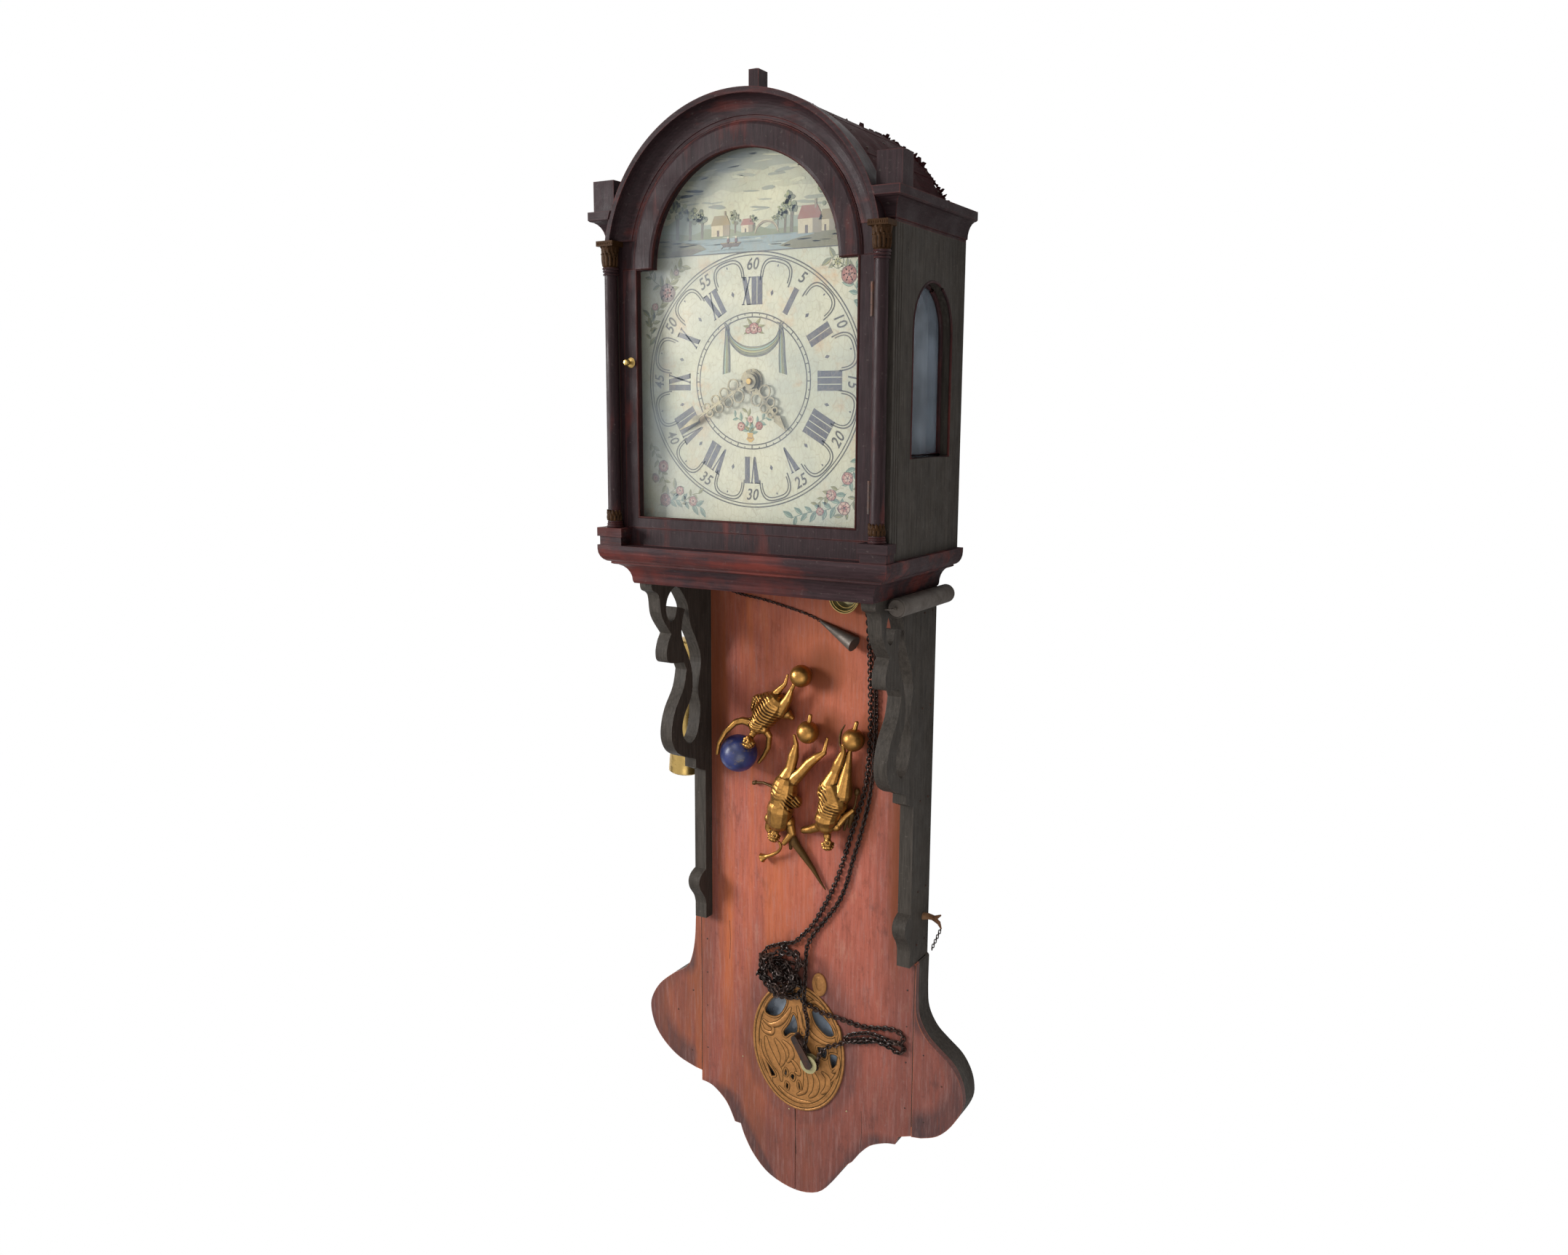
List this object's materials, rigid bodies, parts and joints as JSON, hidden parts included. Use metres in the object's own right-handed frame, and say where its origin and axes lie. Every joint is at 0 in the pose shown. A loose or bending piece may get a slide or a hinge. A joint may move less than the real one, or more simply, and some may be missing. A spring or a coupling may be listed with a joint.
{
  "type": "wall clock",
  "caption": "Frisian tail clock: arched hood with glazed door and painted dial, fretted side boards, long scrolled tail with pendulum window, loose weights and figures.",
  "frame": {"origin": "where the axis of the hands meets the plane of the wall; the clock lies on its back", "axes": "+X to the viewer's right across the dial, +Y up along the clock towards its arch, +Z out of the dial"},
  "size_m": [0.4099, 1.211, 0.1805],
  "materials": {
    "hood_wood": "dark polished",
    "roof_wood": "dark red stain",
    "dark_wood": "unfinished, darkened",
    "red_wood": "worn reddish varnish",
    "grey_wood": "worn dark grey-green paint",
    "gilt_wood": "brown-gilt paint",
    "gilding": "worn gilding",
    "blue_paint": "gloss",
    "dial_paint": "aged satin",
    "brass": "aged satin",
    "fret_brass": "stamped satin",
    "iron": "dark oiled",
    "lead": "matt dark",
    "pane": "old clear"
  },
  "bodies": {
    "case": {"back_board": "dark_wood", "tail_front_board": "red_wood", "side_board_left": "grey_wood", "side_board_right": "grey_wood", "side_lobes": "red_wood", "lobe_blocks": "grey_wood", "window_glass": "pane", "window_fretwork": "fret_brass", "seat_board": "dark_wood", "movement_frame": "iron", "dial_plate": "dial_paint", "bell": "brass", "suspension_stud": "iron", "cone_weight": "lead", "pulley_fork": "iron", "inner_chain": "iron", "chain_strands": "iron", "chain_pile": "iron", "chain_branch": "iron", "thin_chain": "iron"},
    "hood": {"hood_side_left": "grey_wood", "hood_side_right": "grey_wood", "side_glasses": "pane", "front_frame": "hood_wood", "arch_moulding": "hood_wood", "cornice": "hood_wood", "corner_blocks": "hood_wood", "centre_peg": "hood_wood", "base_moulding": "hood_wood", "columns": "hood_wood", "capitals": "gilt_wood", "pedestals": "hood_wood", "roof_boards": "roof_wood", "frame_hinges": "iron"},
    "door": {"door_frame": "hood_wood", "door_glass": "pane", "door_knob": "fret_brass", "door_hinges": "iron"},
    "great": {"great_wheel": "brass"},
    "centre": {"centre_wheel": "brass"},
    "third": {"third_wheel": "brass"},
    "escape": {"escape_wheel": "brass"},
    "anchor": {"anchor": "iron"},
    "pendulum": {"pendulum_rod": "iron", "pendulum_bob": "brass"},
    "hammer": {"hammer": "iron"},
    "minute": {"cannon_pipe": "brass", "minute_hand": "brass"},
    "motion": {"motion_wheel": "brass"},
    "hour": {"hour_wheel": "brass", "hour_hand": "brass"},
    "alarm": {"alarm_disc": "brass"},
    "pulley": {"pulley_wheel": "brass"},
    "bearer": {"figure_bearer": "gilding", "blue_globe": "blue_paint"},
    "trumpeter": {"figure_trumpeter": "gilding"},
    "guardian": {"figure_guardian": "gilding"},
    "brass_weight": {"brass_weight": "brass"},
    "lead_weight": {"lead_weight": "lead"},
    "cup": {"brass_cup": "brass"}
  },
  "joints": [
    {"name": "hood_slide", "type": "slide", "parent": "case", "child": "hood", "axis": [0, 0, 1], "range_m": [0, 0.2]},
    {"name": "door_hinge", "type": "hinge", "parent": "hood", "child": "door", "pos_m": [0.1392, -0.0175, 0.1656], "axis": [0, 1, 0], "range_deg": [0, 90]},
    {"name": "third_turn", "type": "hinge", "parent": "case", "child": "third", "pos_m": [-0.018, 0.03118, 0.0973], "axis": [0, 0, 1], "continuous": true},
    {"name": "great_turn", "type": "hinge", "parent": "case", "child": "great", "pos_m": [0, -0.04, 0.095], "axis": [0, 0, 1], "continuous": true},
    {"name": "centre_turn", "type": "hinge", "parent": "case", "child": "centre", "pos_m": [0, 0, 0.105], "axis": [0, 0, 1], "continuous": true},
    {"name": "escape_turn", "type": "hinge", "parent": "case", "child": "escape", "pos_m": [0, 0.06002, 0.111], "axis": [0, 0, 1], "continuous": true},
    {"name": "pendulum_swing", "type": "hinge", "parent": "case", "child": "pendulum", "pos_m": [0, 0.088, 0.0145], "axis": [0, 0, 1], "range_deg": [-3, 3]},
    {"name": "anchor_swing", "type": "hinge", "parent": "case", "child": "anchor", "pos_m": [0, 0.088, 0.111], "axis": [0, 0, 1], "range_deg": [-3, 3]},
    {"name": "hammer_swing", "type": "hinge", "parent": "case", "child": "hammer", "pos_m": [0.018, 0.078, 0.064], "axis": [0, 0, -1], "range_deg": [0, 12]},
    {"name": "minute_turn", "type": "hinge", "parent": "case", "child": "minute", "pos_m": [0, 0, 0.14], "axis": [0, 0, 1], "continuous": true},
    {"name": "motion_turn", "type": "hinge", "parent": "case", "child": "motion", "pos_m": [0, -0.024, 0.128], "axis": [0, 0, 1], "continuous": true},
    {"name": "hour_turn", "type": "hinge", "parent": "case", "child": "hour", "pos_m": [0, 0, 0.14], "axis": [0, 0, 1], "continuous": true},
    {"name": "alarm_turn", "type": "hinge", "parent": "hour", "child": "alarm", "pos_m": [0, 0, 0.145], "axis": [0, 0, 1], "continuous": true},
    {"name": "pulley_turn", "type": "hinge", "parent": "case", "child": "pulley", "pos_m": [0.014, -0.757, 0.041], "axis": [0, 0, 1], "continuous": true},
    {"name": "bearer_lift", "type": "slide", "parent": "case", "child": "bearer", "axis": [0, 0, 1], "range_m": [0, 0.08]},
    {"name": "trumpeter_lift", "type": "slide", "parent": "case", "child": "trumpeter", "axis": [0, 0, 1], "range_m": [0, 0.08]},
    {"name": "guardian_lift", "type": "slide", "parent": "case", "child": "guardian", "axis": [0, 0, 1], "range_m": [0, 0.08]},
    {"name": "brass_weight_lift", "type": "slide", "parent": "case", "child": "brass_weight", "axis": [0, 0, 1], "range_m": [0, 0.08]},
    {"name": "lead_weight_lift", "type": "slide", "parent": "case", "child": "lead_weight", "axis": [0, 0, 1], "range_m": [0, 0.08]},
    {"name": "cup_lift", "type": "slide", "parent": "case", "child": "cup", "axis": [0, 0, 1], "range_m": [0, 0.06]}
  ],
  "couplings": [
    {"joint": "great_turn", "follows": "third_turn", "ratio": 0.013889},
    {"joint": "centre_turn", "follows": "third_turn", "ratio": -0.125},
    {"joint": "escape_turn", "follows": "third_turn", "ratio": -7.5},
    {"joint": "anchor_swing", "follows": "pendulum_swing", "ratio": 1},
    {"joint": "motion_turn", "follows": "minute_turn", "ratio": -0.33333},
    {"joint": "hour_turn", "follows": "minute_turn", "ratio": 0.083333}
  ]
}
